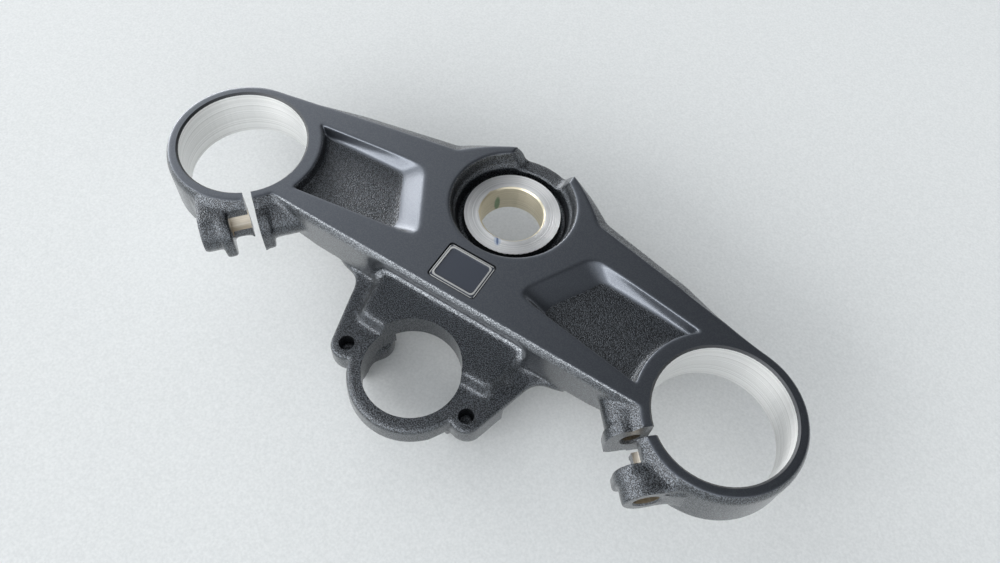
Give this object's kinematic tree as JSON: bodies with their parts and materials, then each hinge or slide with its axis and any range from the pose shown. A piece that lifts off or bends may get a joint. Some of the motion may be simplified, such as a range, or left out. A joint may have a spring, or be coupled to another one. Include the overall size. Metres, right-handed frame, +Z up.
{
  "type": "motorcycle triple clamp",
  "caption": "Cast aluminium upper triple clamp of a sport motorcycle: split fork clamps joined by a pocketed bridge, with a stem seat and an ignition switch mount.",
  "frame": {"origin": "on the steering stem axis, in the plane of the machined seat for the stem nut", "axes": "+X from the left-hand fork clamp in the picture to the right-hand one, parallel to the line between the bores; +Y towards the rider, away from the ignition mount; +Z up along the fork and stem bores"},
  "size_m": [0.2702, 0.1235, 0.0475],
  "materials": {
    "painted_casting": "satin black paint over cast aluminium, bare at the machined bores and the stem seat",
    "badge": "gloss dark field inside a bright raised rim"
  },
  "bodies": {
    "root": {"yoke_casting": "painted_casting", "badge_plate": "badge"}
  },
  "joints": []
}
